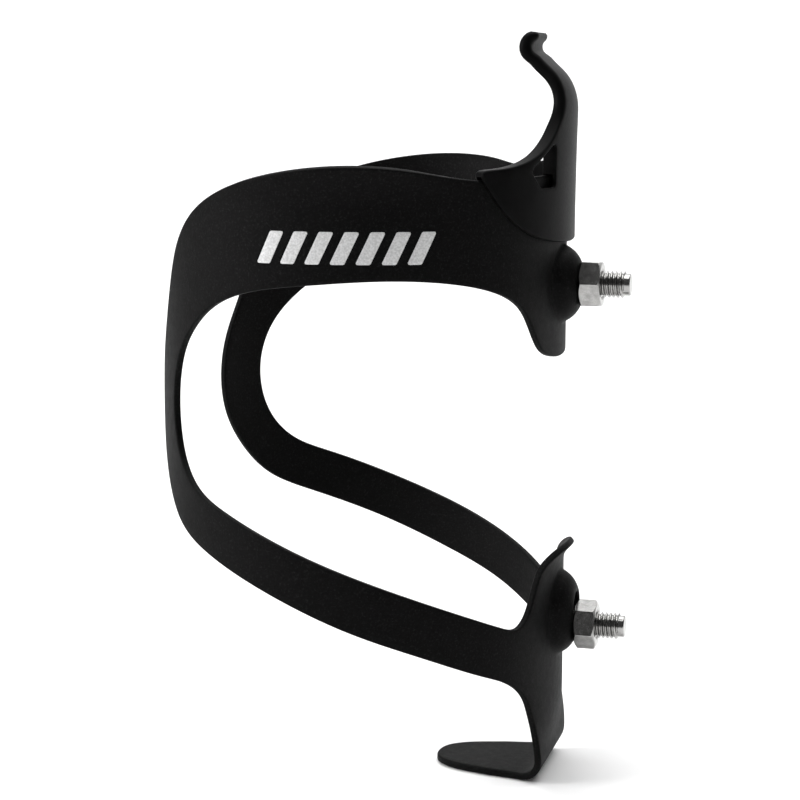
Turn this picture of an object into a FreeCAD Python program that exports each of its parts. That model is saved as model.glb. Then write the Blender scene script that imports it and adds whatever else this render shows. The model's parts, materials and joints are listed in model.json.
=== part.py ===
import FreeCAD, Part
import math
import os
from FreeCAD import Base, Vector

# Water bottle cage for a bicycle frame. Millimetres.
# The origin is on the bottle's axis, midway between the two mounting bolts.
# +X points from the bottle to the bicycle frame, +Z points up, and the cage is
# mirrored across the plane Y = 0.

# ---- driving dimensions ----
SEAT_RADIUS = 37.0          # inner radius of the bent sheet: a 73 to 74 mm bottle
SHEET = 1.3                 # sheet thickness
BOLT_SPACING = 64.0         # standard distance between bottle cage bolts
BOSS_FACE_X = 40.8          # outer faces of both embossed bosses
LIP_FLARE = 1.8             # how far the top edge of the arms rolls outward
LIP_START_Z = 49.0          # height where that roll starts
WALL_TOP_Z = 56.0           # above every edge of the arms
LIP_STEPS = 6               # points along that roll's curve

# ---- embossed bosses ----
BOSS_BASE_RADIUS = 7.0
BOSS_FLAT_RADIUS = 4.0
RECESS_RADIUS = 5.7
RECESS_FLAT_RADIUS = 5.0
LOWER_BOSS_LENGTHENING = 1.6    # straight part of the lower, oblong boss
LOWER_BOSS_BOTTOM_SHIFT = 1.4   # its lower centre stands this far above the bolt
HOLE_RADIUS = 2.75              # clearance hole for an M5 bolt
HEAD_CLEARANCE = 0.1            # round the lower bolt's head in its off-centre recess
SLOT_TRAVEL = 3.4               # extra length of the lower boss's slot, upward

# ---- foot that carries the bottle ----
PLATE_END_Z = -51.5         # the curved lower plate ends here
SOLE_TOP_Z = -58.75         # the bottle stands on this face
HEEL_SINK = 1.6             # the flattened plate stands this much nearer the bottle
HEEL_INNER_RADIUS = 3.2
HEEL_HALF_WIDTH = 12.2      # where the heel bend starts
FOOT_TIP_X = 14.3

# ---- moulded clip ----
CLIP_OUTER_RADIUS = 39.4
CLIP_INNER_RADIUS = 36.2
CLIP_LIP_BOTTOM_Z = 45.5    # lower edge of the clip's inner lip
POCKET_CLEARANCE = 0.05     # gap between the clip and the sheet in its pocket
POCKET_ROOF_GAP = 0.3       # gap over the top edge of the sheet
POCKET_LEAN = 0.4           # how much wider the pocket is at its top, for the rolled sheet
PLATE_TOP_Z = 52.0          # top edge of the upper back plate, inside the pocket
HOOK_HALF_WIDTH = 6.2
HOOK_ROOT_Z = 62.0
BARB_HALF_WIDTH = 3.0
BARB_BOTTOM_Z = 47.0
BARB_TOP_Z = 49.0

# ---- M5 bolts and nuts; the threads are plain cylinders ----
THREAD_RADIUS = 2.5         # free end of the bolt, beyond the nut
SHANK_RADIUS = 2.24         # in the boss and the nut: the thread's pitch radius
BOLT_LENGTH = 10.5          # under the head
BOLT_POINT = 0.6            # chamfer at the bolt's end
HEAD_RADIUS = 4.25
HEAD_HEIGHT = 2.5
HEAD_ROUND = 1.0
SOCKET_ACROSS_FLATS = 3.0
SOCKET_DEPTH = 1.5
NUT_ACROSS_FLATS = 8.0
NUT_HEIGHT = 4.0
NUT_CHAMFER = 30.0          # degrees
NUT_BORE_RADIUS = 2.55      # running clearance on the thread's outer radius
UPPER_NUT_TURN = -3.0       # corners point nearly sideways
LOWER_NUT_TURN = 15.5       # a flat faces sideways and a little up

OUTER_RADIUS = SEAT_RADIUS + SHEET
UPPER_BOLT_Z = BOLT_SPACING / 2
LOWER_BOLT_Z = -BOLT_SPACING / 2
HEEL_START_Z = SOLE_TOP_Z + HEEL_INNER_RADIUS

# ---- flat pattern of one half: (distance round the seat from the back, height) ----
OUTER_EDGE = [
    (0.0, PLATE_TOP_Z),
    (14.0, PLATE_TOP_Z),
    (28.0, 51.7),
    (36.0, 52.7),
    (42.0, 53.7),
    (52.0, 54.3),
    (64.0, 53.0),
    (75.0, 50.0),
    (83.0, 45.9),
    (89.5, 39.4),
    (93.2, 32.0),
    (96.4, 24.6),
    (99.4, 17.7),
    (100.7, 10.5),
    (99.5, 2.8),
    (95.4, -4.4),
    (88.8, -11.0),
    (80.0, -15.2),
    (66.0, -20.7),
    (50.7, -27.1),
    (38.4, -31.8),
    (27.0, -36.4),
    (20.4, -39.2),
    (15.8, -43.0),
    (13.6, -47.8),
    (12.9, PLATE_END_Z),
]
OPENING_EDGE = [
    (0.0, 18.7),
    (7.0, 19.3),
    (11.0, 20.8),
    (14.3, 24.3),
    (17.6, 28.3),
    (23.1, 31.5),
    (30.5, 33.5),
    (46.0, 34.7),
    (58.0, 33.9),
    (68.0, 32.6),
    (76.5, 29.9),
    (83.0, 25.6),
    (88.2, 20.0),
    (90.9, 13.4),
    (90.7, 6.5),
    (88.2, 0.8),
    (83.2, -4.0),
    (75.7, -7.3),
    (60.0, -13.4),
    (43.0, -20.0),
    (30.0, -25.2),
    (22.5, -28.2),
    (18.4, -29.0),
    (15.6, -27.3),
    (13.2, -23.6),
    (10.2, -19.6),
    (6.0, -17.2),
    (0.0, -16.2),
]
CLIP_TOP_EDGE = [
    (6.5, 66.0),
    (7.4, 63.5),
    (9.4, 60.4),
    (12.6, 57.5),
    (16.7, 55.3),
    (21.6, 54.0),
    (28.4, 53.3),
]
CLIP_SEAM = [
    (28.4, 53.3),
    (27.0, 50.1),
    (24.9, 47.5),
    (22.1, 44.8),
    (19.0, 42.8),
    (15.0, 41.3),
    (8.9, 40.2),
    (0.0, 39.8),
]
# corners of each side window, across from the window's middle and up
CLIP_WINDOW_AROUND = 12.4
CLIP_WINDOW = [
    (-2.8, 58.6),
    (-2.8, 50.0),
    (2.0, 50.0),
    (5.2, 53.4),
]
WINDOW_CORNER_RADIUS = 0.7
# half of the foot's outline from above, (X, Y), from behind the heel to the tip
FOOT_EDGE = [
    (37.2, 12.7),
    (35.4, HEEL_HALF_WIDTH),
    (34.0, 11.2),
    (32.0, 10.1),
    (29.0, 9.3),
    (26.0, 8.8),
    (23.0, 8.0),
    (20.0, 7.1),
    (17.4, 5.8),
    (15.4, 3.8),
    (FOOT_TIP_X, 0.0),
]
# side view of the hook, (X, Z): up the back, round the bead and down the front
HOOK_BACK = [
    (39.2, HOOK_ROOT_Z),
    (39.2, 65.5),
    (38.7, 68.4),
    (36.9, 71.1),
    (34.9, 73.2),
    (33.7, 74.7),
]
HOOK_BEAD = [
    (33.7, 74.7),
    (33.9, 76.2),
    (32.6, 77.5),
    (31.0, 77.1),
    (30.1, 75.4),
    (30.6, 73.6),
]
HOOK_FRONT = [
    (30.6, 73.6),
    (33.0, 71.6),
    (35.6, 69.2),
    (37.0, 66.6),
    (37.3, HOOK_ROOT_Z),
]

# ---- wrapping a flat pattern round the bottle's axis ----
CUTTER_INNER_RADIUS = 30.0
CUTTER_OUTER_RADIUS = 46.0
CUTTER_OVERRUN = 2.0        # how far cutting solids stick out of what they cut
OFFSET_TOLERANCE = 1e-4
EDGE_TOLERANCE = 1e-6


def seat_cylinder(radius):
    """A cylinder surface round the bottle's axis with its seam at the front."""
    surface = Part.Cylinder()
    surface.Radius = radius
    surface.rotate(FreeCAD.Placement(Vector(0, 0, 0), Vector(0, 0, 1), 180))
    return surface


def wrapped_angle(length):
    """The angle from the seam of a point this far round from the back."""
    return math.pi + length / SEAT_RADIUS


def flat_spline(points):
    curve = Part.Geom2d.BSplineCurve2d()
    curve.interpolate([Base.Vector2d(wrapped_angle(a), z) for a, z in points])
    return curve


def flat_line(start, end):
    first = Base.Vector2d(wrapped_angle(start[0]), start[1])
    last = Base.Vector2d(wrapped_angle(end[0]), end[1])
    return Part.Geom2d.Line2dSegment(first, last)


def wrapped_block(curves, inner=CUTTER_INNER_RADIUS, outer=CUTTER_OUTER_RADIUS):
    """The solid between two radii whose outline is a closed loop of flat curves."""
    surface = seat_cylinder(inner)
    outline = Part.Wire([curve.toShape(surface) for curve in curves])
    block = Part.Face(surface, outline).makeOffsetShape(outer - inner, OFFSET_TOLERANCE, fill=True)
    if block.Volume < 0:
        block.reverse()
    return block


def mirrored(points):
    """The points of one half, then their mirror images, as one run."""
    other_half = [(-a, z) for a, z in reversed(points) if a > 0]
    return points + other_half


def closed_spline(points):
    """A closed flat outline through one half's points and their mirror images."""
    loop = mirrored(points)
    half = len(points)
    return [flat_spline(loop[:half]), flat_spline([loop[half - 1]] + loop[half:] + [loop[0]])]


# ---- the bent sheet ----
def rolled_wall():
    """The sheet before it is trimmed: a tube whose top edge rolls outward."""
    lip_height = WALL_TOP_Z - LIP_START_Z
    inner_curve = Part.BSplineCurve()
    outer_curve = Part.BSplineCurve()
    inner_points = []
    outer_points = []
    for step in range(LIP_STEPS + 1):
        share = step / LIP_STEPS
        z = LIP_START_Z + lip_height * share
        radius = SEAT_RADIUS + LIP_FLARE * share ** 2
        inner_points.append(Vector(radius, 0, z))
        outer_points.append(Vector(radius + SHEET, 0, z))
    straight_up = Vector(0, 0, 1)
    lean = Vector(2 * LIP_FLARE / lip_height, 0, 1)
    inner_curve.interpolate(Points=inner_points, InitialTangent=straight_up, FinalTangent=lean)
    outer_curve.interpolate(Points=outer_points, InitialTangent=straight_up, FinalTangent=lean)
    bottom_inner = Vector(SEAT_RADIUS, 0, PLATE_END_Z - CUTTER_OVERRUN)
    bottom_outer = Vector(OUTER_RADIUS, 0, PLATE_END_Z - CUTTER_OVERRUN)
    edges = [
        Part.makeLine(bottom_inner, inner_points[0]),
        inner_curve.toShape(),
        Part.makeLine(inner_points[-1], outer_points[-1]),
        outer_curve.toShape(),
        Part.makeLine(outer_points[0], bottom_outer),
        Part.makeLine(bottom_outer, bottom_inner),
    ]
    profile = Part.Face(Part.Wire(edges))
    wall = profile.revolve(Vector(0, 0, 0), Vector(0, 0, 1), 360)
    wall.rotate(Vector(0, 0, 0), Vector(0, 0, 1), 180)
    return wall


def trimmed_wall():
    """The wall cut to the outline of the arms, legs, diagonals and back plates."""
    right = flat_spline(OUTER_EDGE[1:])
    left = flat_spline([(-a, z) for a, z in reversed(OUTER_EDGE[1:])])
    end_of_right = OUTER_EDGE[-1]
    start_of_left = (-end_of_right[0], end_of_right[1])
    top_right = OUTER_EDGE[1]
    top_left = (-top_right[0], top_right[1])
    outline = [right, flat_line(end_of_right, start_of_left), left, flat_line(top_left, top_right)]
    opening = closed_spline(OPENING_EDGE)
    wall = rolled_wall().common(wrapped_block(outline))
    return wall.cut(wrapped_block(opening))


def section(half_width, z):
    """The lower plate's curved section at a height, as a closed wire."""
    angle = half_width / SEAT_RADIUS
    ends = {}
    for radius in (SEAT_RADIUS, OUTER_RADIUS):
        x = radius * math.cos(angle)
        y = radius * math.sin(angle)
        ends[radius] = (Vector(x, -y, z), Vector(radius, 0, z), Vector(x, y, z))
    inner = ends[SEAT_RADIUS]
    outer = ends[OUTER_RADIUS]
    edges = [
        Part.Arc(*inner).toShape(),
        Part.makeLine(inner[2], outer[2]),
        Part.Arc(outer[2], outer[1], outer[0]).toShape(),
        Part.makeLine(outer[0], inner[0]),
    ]
    return Part.Wire(edges)


def flat_section(half_width, z):
    inner_x = SEAT_RADIUS - HEEL_SINK
    outer_x = inner_x + SHEET
    corners = [
        Vector(inner_x, -half_width, z),
        Vector(inner_x, half_width, z),
        Vector(outer_x, half_width, z),
        Vector(outer_x, -half_width, z),
    ]
    return Part.makePolygon(corners + [corners[0]])


def foot():
    """The flattening plate, the heel bend and the tongue-shaped foot."""
    plate = Part.makeLoft(
        [section(OUTER_EDGE[-1][0], PLATE_END_Z), flat_section(HEEL_HALF_WIDTH, HEEL_START_Z)],
        True,
        True,
    )
    heel_x = SEAT_RADIUS - HEEL_SINK - HEEL_INNER_RADIUS
    heel_face = Part.Face(flat_section(FOOT_EDGE[0][1], HEEL_START_Z))
    heel = heel_face.revolve(Vector(heel_x, 0, HEEL_START_Z), Vector(0, 1, 0), 90)
    bottom_z = SOLE_TOP_Z - SHEET
    width = 2 * FOOT_EDGE[0][1]
    corner = Vector(0, -width / 2, bottom_z)
    sole = Part.makeBox(heel_x, width, SHEET, corner)
    half = [Vector(x, y, bottom_z - CUTTER_OVERRUN) for x, y in FOOT_EDGE]
    other = [Vector(point.x, -point.y, point.z) for point in reversed(half[:-1])]
    edge = Part.BSplineCurve()
    edge.interpolate(Points=half + other)
    outline = Part.Wire([edge.toShape(), Part.makeLine(other[-1], half[0])])
    height = HEEL_START_Z - half[0].z
    trimmer = Part.Face(outline).extrude(Vector(0, 0, height))
    return plate.fuse(heel.fuse(sole).common(trimmer))


def button_profile(base_radius, flat_radius, start_x, face_x):
    """Half of a boss's section, in the plane Z = 0: a straight side and a round shoulder."""
    round_radius = base_radius - flat_radius
    shoulder_x = face_x - round_radius
    middle = round_radius * math.sqrt(0.5)
    edges = [
        Part.makeLine(Vector(start_x, 0, 0), Vector(start_x, base_radius, 0)),
        Part.makeLine(Vector(start_x, base_radius, 0), Vector(shoulder_x, base_radius, 0)),
        Part.Arc(
            Vector(shoulder_x, base_radius, 0),
            Vector(shoulder_x + middle, flat_radius + middle, 0),
            Vector(face_x, flat_radius, 0),
        ).toShape(),
        Part.makeLine(Vector(face_x, flat_radius, 0), Vector(face_x, 0, 0)),
        Part.makeLine(Vector(face_x, 0, 0), Vector(start_x, 0, 0)),
    ]
    return Part.Face(Part.Wire(edges))


def button(base_radius, flat_radius, start_x, face_x, low_z, high_z):
    """A round boss, or an oblong one when the two heights differ."""
    half = button_profile(base_radius, flat_radius, start_x, face_x)
    turned = half.revolve(Vector(0, 0, 0), Vector(1, 0, 0), 360)
    low = turned.copy()
    low.translate(Vector(0, 0, low_z))
    if high_z == low_z:
        return low
    high = turned.copy()
    high.translate(Vector(0, 0, high_z))
    other = half.mirror(Vector(0, 0, 0), Vector(0, 1, 0))
    middle = half.fuse(other)
    middle.translate(Vector(0, 0, low_z))
    return low.fuse(high).fuse(middle.extrude(Vector(0, 0, high_z - low_z)))


def slot(low_z, high_z):
    """A hole through a boss along X, lengthened upward when the heights differ."""
    start_x = SEAT_RADIUS - CUTTER_OVERRUN
    length = BOSS_FACE_X - start_x + CUTTER_OVERRUN
    along = Vector(1, 0, 0)
    low = Part.makeCylinder(HOLE_RADIUS, length, Vector(start_x, 0, low_z), along)
    if high_z == low_z:
        return low
    high = Part.makeCylinder(HOLE_RADIUS, length, Vector(start_x, 0, high_z), along)
    corner = Vector(start_x, -HOLE_RADIUS, low_z)
    middle = Part.makeBox(length, 2 * HOLE_RADIUS, high_z - low_z, corner)
    return low.fuse(high).fuse(middle)


def barb_window():
    """The window in the upper back plate that the clip's barb snaps into."""
    width = 2 * BARB_HALF_WIDTH + 2 * POCKET_CLEARANCE
    height = BARB_TOP_Z - BARB_BOTTOM_Z + 2 * POCKET_CLEARANCE
    start_x = SEAT_RADIUS - CUTTER_OVERRUN
    corner = Vector(start_x, -width / 2, BARB_BOTTOM_Z - POCKET_CLEARANCE)
    return Part.makeBox(SHEET + 2 * CUTTER_OVERRUN, width, height, corner)


def head_pocket(z):
    """Room for a bolt's head in a boss, up to its seat."""
    start_x = SEAT_RADIUS - CUTTER_OVERRUN
    length = BOSS_FACE_X - SHEET - start_x
    radius = HEAD_RADIUS + HEAD_CLEARANCE
    return Part.makeCylinder(radius, length, Vector(start_x, 0, z), Vector(1, 0, 0))


def cage_body():
    lower_low = LOWER_BOLT_Z + LOWER_BOSS_BOTTOM_SHIFT
    lower_high = lower_low + LOWER_BOSS_LENGTHENING
    heights = [(UPPER_BOLT_Z, UPPER_BOLT_Z), (lower_low, lower_high)]
    body = trimmed_wall().fuse(foot())
    for low_z, high_z in heights:
        start_x = SEAT_RADIUS - SHEET / 2
        body = body.fuse(
            button(BOSS_BASE_RADIUS, BOSS_FLAT_RADIUS, start_x, BOSS_FACE_X, low_z, high_z)
        )
    for low_z, high_z in heights:
        start_x = SEAT_RADIUS - 2 * SHEET
        recess_x = BOSS_FACE_X - SHEET
        body = body.cut(
            button(RECESS_RADIUS, RECESS_FLAT_RADIUS, start_x, recess_x, low_z, high_z)
        )
    body = body.cut(head_pocket(LOWER_BOLT_Z))
    body = body.cut(slot(UPPER_BOLT_Z, UPPER_BOLT_Z))
    body = body.cut(slot(LOWER_BOLT_Z, LOWER_BOLT_Z + SLOT_TRAVEL))
    body = body.cut(barb_window())
    return body.removeSplitter()


# ---- the moulded clip ----
def ring(corners):
    """The solid swept round the bottle's axis by a section of (radius, height) corners."""
    points = [Vector(radius, 0, z) for radius, z in corners]
    face = Part.Face(Part.makePolygon(points + [points[0]]))
    return face.revolve(Vector(0, 0, 0), Vector(0, 0, 1), 360)


def sheet_pocket():
    """The room the upper back plate fills in the clip, open below its inner lip."""
    bottom_z = CLIP_SEAM[-1][1] - CUTTER_OVERRUN
    roof_z = PLATE_TOP_Z + POCKET_ROOF_GAP
    open_radius = CLIP_INNER_RADIUS - CUTTER_OVERRUN
    inner = SEAT_RADIUS - POCKET_CLEARANCE
    outer = OUTER_RADIUS + POCKET_CLEARANCE
    return ring(
        [
            (open_radius, bottom_z),
            (outer, bottom_z),
            (outer, LIP_START_Z),
            (outer + POCKET_LEAN, roof_z),
            (inner, roof_z),
            (inner, CLIP_LIP_BOTTOM_Z),
            (open_radius, CLIP_LIP_BOTTOM_Z),
        ]
    )


def hook():
    """The thick tongue that rises from the saddle and ends in a rolled bead."""
    edges = []
    for points in (HOOK_BACK, HOOK_BEAD, HOOK_FRONT):
        curve = Part.BSplineCurve()
        curve.interpolate(Points=[Vector(x, -HOOK_HALF_WIDTH, z) for x, z in points])
        edges.append(curve.toShape())
    front_foot = Vector(HOOK_FRONT[-1][0], -HOOK_HALF_WIDTH, HOOK_FRONT[-1][1])
    back_foot = Vector(HOOK_BACK[0][0], -HOOK_HALF_WIDTH, HOOK_BACK[0][1])
    edges.append(Part.makeLine(front_foot, back_foot))
    return Part.Face(Part.Wire(edges)).extrude(Vector(0, 2 * HOOK_HALF_WIDTH, 0))


def clip_window(side):
    """A triangular prism along the radius through the middle of one side window."""
    angle = math.degrees(CLIP_WINDOW_AROUND / SEAT_RADIUS)
    corners = [Vector(CUTTER_INNER_RADIUS, across, z) for across, z in CLIP_WINDOW]
    face = Part.Face(Part.makePolygon(corners + [corners[0]]))
    prism = face.extrude(Vector(CUTTER_OUTER_RADIUS - CUTTER_INNER_RADIUS, 0, 0))
    along = [edge for edge in prism.Edges if edge.BoundBox.XLength > 1]
    prism = prism.makeFillet(WINDOW_CORNER_RADIUS, along)
    prism.rotate(Vector(0, 0, 0), Vector(0, 0, 1), angle)
    if side < 0:
        prism = prism.mirror(Vector(0, 0, 0), Vector(0, 1, 0))
    return prism


def barb():
    """The block on the clip's outer wall that snaps into the sheet's window."""
    start_x = SEAT_RADIUS + SHEET / 3
    end_x = (OUTER_RADIUS + CLIP_OUTER_RADIUS) / 2
    width = 2 * BARB_HALF_WIDTH
    height = BARB_TOP_Z - BARB_BOTTOM_Z
    corner = Vector(start_x, -BARB_HALF_WIDTH, BARB_BOTTOM_Z)
    return Part.makeBox(end_x - start_x, width, height, corner)


def retaining_clip():
    right_top = flat_spline(CLIP_TOP_EDGE)
    left_top = flat_spline([(-a, z) for a, z in reversed(CLIP_TOP_EDGE)])
    seam = flat_spline(mirrored(CLIP_SEAM))
    top_right = CLIP_TOP_EDGE[0]
    top = flat_line((-top_right[0], top_right[1]), top_right)
    outline = [right_top, seam, left_top, top]
    saddle = wrapped_block(outline, CLIP_INNER_RADIUS, CLIP_OUTER_RADIUS)
    clip = saddle.cut(sheet_pocket())
    for side in (1, -1):
        clip = clip.cut(clip_window(side))
    clip = clip.fuse(barb())
    clip = clip.fuse(hook())
    return clip.removeSplitter()


# ---- fasteners ----
def hexagon(across_flats, length, x, z, turn):
    """A hexagonal bar along X."""
    corner_radius = across_flats / math.sqrt(3)
    corners = []
    for index in range(7):
        angle = math.radians(60 * index + turn)
        corners.append(
            Vector(x, corner_radius * math.cos(angle), z + corner_radius * math.sin(angle))
        )
    return Part.Face(Part.makePolygon(corners)).extrude(Vector(length, 0, 0))


def bolt(z):
    """A socket head bolt: head, shank, free thread and chamfered point, in that order."""
    along = Vector(1, 0, 0)
    seat_x = BOSS_FACE_X - SHEET
    head_x = seat_x - HEAD_HEIGHT
    thread_x = BOSS_FACE_X + NUT_HEIGHT
    point_x = seat_x + BOLT_LENGTH - BOLT_POINT
    head = Part.makeCylinder(HEAD_RADIUS, HEAD_HEIGHT, Vector(head_x, 0, z), along)
    rim = [edge for edge in head.Edges if abs(edge.BoundBox.XMax - head_x) < EDGE_TOLERANCE]
    head = head.makeFillet(HEAD_ROUND, rim)
    head = head.cut(hexagon(SOCKET_ACROSS_FLATS, SOCKET_DEPTH, head_x, z, 0))
    shank = Part.makeCylinder(SHANK_RADIUS, thread_x - seat_x, Vector(seat_x, 0, z), along)
    thread = Part.makeCylinder(THREAD_RADIUS, point_x - thread_x, Vector(thread_x, 0, z), along)
    point = Part.makeCone(
        THREAD_RADIUS, THREAD_RADIUS - BOLT_POINT, BOLT_POINT, Vector(point_x, 0, z), along
    )
    return head.fuse(shank).fuse(thread).fuse(point).removeSplitter()


def nut(z, turn):
    """A hexagonal nut with its corners chamfered on both faces."""
    along = Vector(1, 0, 0)
    bar = hexagon(NUT_ACROSS_FLATS, NUT_HEIGHT, BOSS_FACE_X, z, turn)
    flat_radius = NUT_ACROSS_FLATS / 2
    slope = math.tan(math.radians(NUT_CHAMFER))
    full_radius = flat_radius + NUT_HEIGHT / 2 / slope
    half = NUT_HEIGHT / 2
    first = Part.makeCone(flat_radius, full_radius, half, Vector(BOSS_FACE_X, 0, z), along)
    second = Part.makeCone(full_radius, flat_radius, half, Vector(BOSS_FACE_X + half, 0, z), along)
    bore = Part.makeCylinder(NUT_BORE_RADIUS, NUT_HEIGHT, Vector(BOSS_FACE_X, 0, z), along)
    return bar.common(first.fuse(second)).cut(bore)


os.makedirs("parts", exist_ok=True)
PIECES = {
    "cage_body": cage_body(),
    "retaining_clip": retaining_clip(),
    "upper_bolt": bolt(UPPER_BOLT_Z),
    "upper_nut": nut(UPPER_BOLT_Z, UPPER_NUT_TURN),
    "lower_bolt": bolt(LOWER_BOLT_Z),
    "lower_nut": nut(LOWER_BOLT_Z, LOWER_NUT_TURN),
}
for name, shape in PIECES.items():
    print(name, len(shape.Solids), "solid, valid:", shape.isValid())
    shape.exportStep("parts/" + name + ".step")
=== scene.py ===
import json
import math

import bmesh
import bpy
import numpy as np
from mathutils import Matrix, Vector
from mathutils.geometry import delaunay_2d_cdt


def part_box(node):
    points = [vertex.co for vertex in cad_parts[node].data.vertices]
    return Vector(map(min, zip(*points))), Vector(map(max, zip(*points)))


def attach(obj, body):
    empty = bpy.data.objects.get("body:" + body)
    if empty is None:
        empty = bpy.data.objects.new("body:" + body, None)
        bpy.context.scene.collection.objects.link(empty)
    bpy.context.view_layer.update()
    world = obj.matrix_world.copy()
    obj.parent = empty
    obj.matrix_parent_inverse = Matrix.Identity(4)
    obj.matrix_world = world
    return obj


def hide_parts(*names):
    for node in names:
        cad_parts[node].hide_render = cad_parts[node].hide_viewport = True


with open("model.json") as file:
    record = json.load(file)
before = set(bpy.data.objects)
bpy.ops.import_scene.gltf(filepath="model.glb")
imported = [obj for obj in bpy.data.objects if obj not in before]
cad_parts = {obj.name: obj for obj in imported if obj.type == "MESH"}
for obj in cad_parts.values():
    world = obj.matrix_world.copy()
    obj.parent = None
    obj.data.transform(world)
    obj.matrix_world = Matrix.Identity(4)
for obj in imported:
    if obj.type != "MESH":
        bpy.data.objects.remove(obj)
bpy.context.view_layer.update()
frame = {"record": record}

# Looks of the water bottle cage. Flat patterns, sections and offsets are in
# millimetres and every mesh is made in metres, in the CAD model's frame:
# origin on the bottle's axis between the bolts, +X to the bicycle, +Z up.
MM = 0.001


def box_mm(node):
    low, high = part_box(node)
    return [v / MM for v in low], [v / MM for v in high]


# ---- sizes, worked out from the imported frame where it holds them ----
SEAT_RADIUS = 37.0
SHEET = 1.3
MID_RADIUS = SEAT_RADIUS + SHEET / 2
PATTERN_MOUNT = next(m for m in frame["record"]["mounts"] if m["name"] == "frame_studs")
BOLT_SPACING = PATTERN_MOUNT["dims"]["spacing_y_mm"]
UPPER_BOLT_Z = BOLT_SPACING / 2
LOWER_BOLT_Z = -BOLT_SPACING / 2
NUT_LOW, NUT_HIGH = box_mm("upper_nut")
BOSS_FACE_X = NUT_LOW[0]
NUT_HEIGHT = NUT_HIGH[0] - NUT_LOW[0]
BOLT_LOW, BOLT_HIGH = box_mm("upper_bolt")
BOLT_END_X = BOLT_HIGH[0]
HEAD_TOP_X = BOLT_LOW[0]
HEAD_SEAT_X = BOSS_FACE_X - SHEET
HEAD_RADIUS = (BOLT_HIGH[2] - BOLT_LOW[2]) / 2
FOOT_LOW_Z = box_mm("cage_body")[0][2]
UPPER_NUT_TURN = math.radians(-3.0)
LOWER_NUT_TURN = math.radians(15.5)

# ---- small numeric helpers ----
DENSE_STEP = 0.05
CORNER_STEPS = 8
FEWEST_POINTS = 8
LONGEST_CHUNK = 200


def smooth_step(value, low, high):
    share = np.clip((value - low) / (high - low), 0.0, 1.0)
    return share * share * (3.0 - 2.0 * share)


def natural_spline(points, step):
    """A smooth open curve through the points, sampled about every step."""
    points = np.asarray(points, float)
    chord = np.hypot(*np.diff(points, axis=0).T)
    count = len(points)
    system = np.zeros((count, count))
    target = np.zeros((count, 2))
    system[0, 0] = system[-1, -1] = 1.0
    for i in range(1, count - 1):
        system[i, i - 1] = chord[i - 1]
        system[i, i] = 2.0 * (chord[i - 1] + chord[i])
        system[i, i + 1] = chord[i]
        rise = (points[i + 1] - points[i]) / chord[i]
        target[i] = 6.0 * (rise - (points[i] - points[i - 1]) / chord[i - 1])
    bend = np.linalg.solve(system, target)
    out = []
    for i in range(count - 1):
        samples = max(2, int(math.ceil(chord[i] / step)))
        t = np.arange(samples) / samples * chord[i]
        left = (chord[i] - t)[:, None]
        right = t[:, None]
        cubic = bend[i] * left**3 + bend[i + 1] * right**3
        line_left = (points[i] / chord[i] - bend[i] * chord[i] / 6.0) * left
        line_right = (points[i + 1] / chord[i] - bend[i + 1] * chord[i] / 6.0) * right
        out.append(cubic / (6.0 * chord[i]) + line_left + line_right)
    out.append(points[-1:])
    return np.concatenate(out)


def lengths_along(line):
    """The distance from a line's start to each of its points."""
    return np.concatenate([[0.0], np.cumsum(np.hypot(*np.diff(line, axis=0).T))])


def resample(line, step, closed):
    """Evenly spaced points along a dense line."""
    if closed:
        line = np.vstack([line, line[:1]])
    length = lengths_along(line)
    count = max(FEWEST_POINTS, int(round(length[-1] / step)))
    at = np.linspace(0.0, length[-1], count + 1)
    if closed:
        at = at[:-1]
    return np.stack([np.interp(at, length, line[:, 0]), np.interp(at, length, line[:, 1])], -1)


def mirrored_loop(half, step):
    """A closed smooth loop from one half's points, which start and end at zero across."""
    half = [tuple(p) for p in half]
    other = [(-a, b) for a, b in reversed(half) if a > 0]
    loop = half + other
    wrap = 5
    run = loop[-wrap:] + loop + loop[: wrap + 1]
    dense = natural_spline(run, DENSE_STEP)
    first = np.array(loop[0])
    start = np.argmin(np.hypot(*(dense[: len(dense) // 3] - first).T))
    half_way = len(dense) // 2
    end = half_way + np.argmin(np.hypot(*(dense[half_way:] - first).T))
    return resample(dense[start:end], step, True)


def rounded_polygon(corners, radius, step):
    """A closed loop of straight sides with round corners."""
    corners = np.asarray(corners, float)
    count = len(corners)
    line = []
    for i in range(count):
        here = corners[i]
        before = corners[i - 1] - here
        after = corners[(i + 1) % count] - here
        before /= np.linalg.norm(before)
        after /= np.linalg.norm(after)
        half_angle = math.acos(np.clip(before @ after, -1.0, 1.0)) / 2.0
        reach = radius / math.tan(half_angle)
        inward = (before + after) / np.linalg.norm(before + after)
        centre = here + inward * radius / math.sin(half_angle)
        first = here + before * reach - centre
        last = here + after * reach - centre
        turn = math.atan2(first[0] * last[1] - first[1] * last[0], first @ last)
        for k in range(CORNER_STEPS + 1):
            angle = turn * k / CORNER_STEPS
            c = math.cos(angle)
            s = math.sin(angle)
            line.append(centre + np.array([first[0] * c - first[1] * s, first[0] * s + first[1] * c]))
    return resample(np.array(line), step, True)


def inside(points, loop):
    """Which points lie inside a closed loop."""
    x = points[:, 0][:, None]
    y = points[:, 1][:, None]
    x0 = loop[:, 0][None]
    y0 = loop[:, 1][None]
    x1 = np.roll(loop[:, 0], -1)[None]
    y1 = np.roll(loop[:, 1], -1)[None]
    crosses = (y0 > y) != (y1 > y)
    with np.errstate(divide="ignore", invalid="ignore"):
        at = x0 + (y - y0) / (y1 - y0) * (x1 - x0)
    return (np.sum(crosses & (x < at), axis=1) % 2) == 1


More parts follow.
